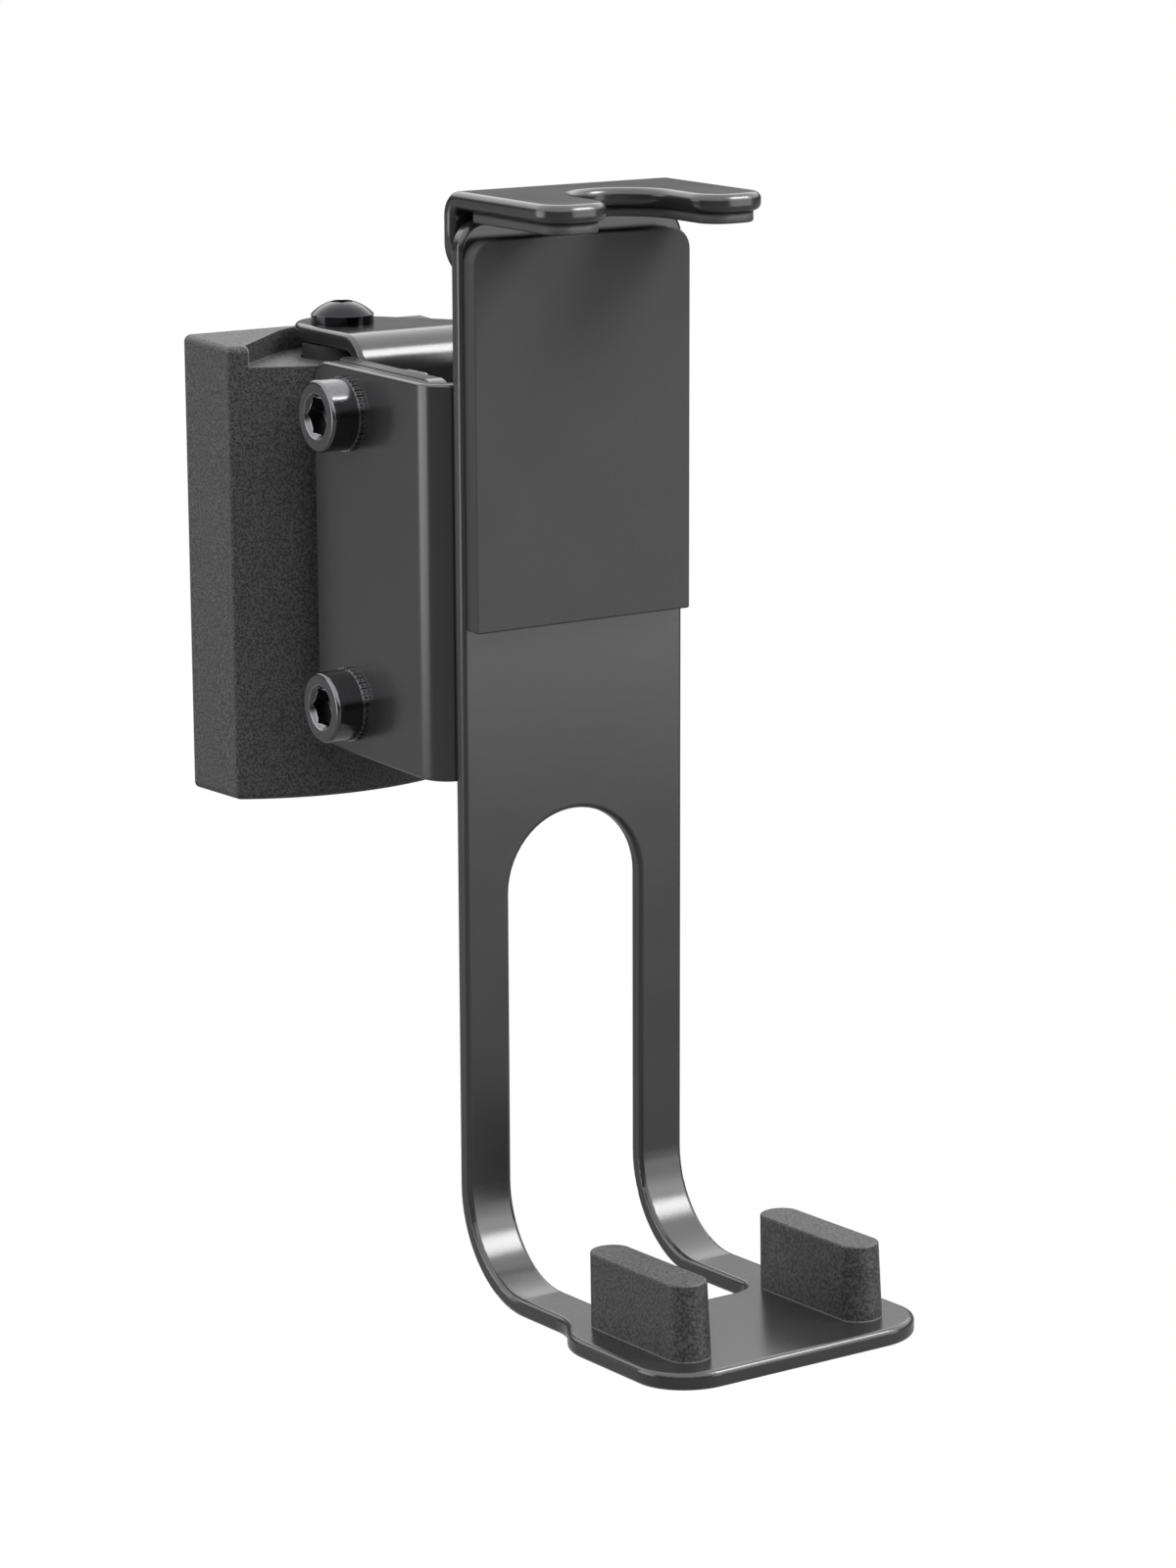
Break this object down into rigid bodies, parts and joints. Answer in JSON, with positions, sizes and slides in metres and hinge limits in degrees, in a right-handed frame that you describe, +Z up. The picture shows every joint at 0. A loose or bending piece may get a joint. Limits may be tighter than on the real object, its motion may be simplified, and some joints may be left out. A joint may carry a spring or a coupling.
{
  "type": "speaker wall bracket",
  "caption": "Black steel wall bracket for a compact loudspeaker: a slotted arm with a shelf, two posts and a padded top hook, on a swivel and tilt base.",
  "frame": {"origin": "on the wall plane, midway between the two wall screw holes and below the swivel pivot", "axes": "+Y into the wall, -Y towards the room where the loudspeaker stands, +X to the right seen from the room, +Z up"},
  "size_m": [0.0544, 0.114, 0.1529],
  "materials": {
    "powder_coat": "satin",
    "cover_plastic": "fine texture",
    "post_plastic": "fine texture",
    "nylon": "smooth",
    "black_steel": "black oxide",
    "zinc_steel": "zinc plated",
    "foam_pad": "matte closed-cell foam",
    "rubber_pad": "smooth"
  },
  "bodies": {
    "base": {"wall_plate": "zinc_steel", "base_cover": "cover_plastic", "pivot_collar": "nylon"},
    "swivel": {"yoke": "powder_coat", "pivot_screw": "black_steel", "spring_washer": "black_steel", "pivot_nut": "black_steel"},
    "arm": {"channel": "powder_coat", "tilt_bolts": "black_steel", "lock_washers": "black_steel", "flat_washers": "black_steel", "tilt_nuts": "black_steel", "support_arm": "powder_coat", "arm_rivets": "powder_coat", "back_pad": "foam_pad", "hook_stud": "zinc_steel", "stud_washer": "zinc_steel", "stud_nut": "zinc_steel", "post_left": "post_plastic", "post_right": "post_plastic", "post_screws": "black_steel"},
    "hook": {"top_hook": "powder_coat", "hook_pad": "rubber_pad"}
  },
  "joints": [
    {"name": "swivel", "type": "hinge", "parent": "base", "child": "swivel", "pos_m": [0, -0.0105, 0], "axis": [0, 0, 1], "range_deg": [-18, 12]},
    {"name": "tilt", "type": "hinge", "parent": "swivel", "child": "arm", "pos_m": [0.0088, -0.032, -0.01585], "axis": [1, 0, 0], "range_deg": [0, 15]},
    {"name": "hook_height", "type": "slide", "parent": "arm", "child": "hook", "axis": [0, 0, 1], "range_m": [0, 0.008]}
  ]
}
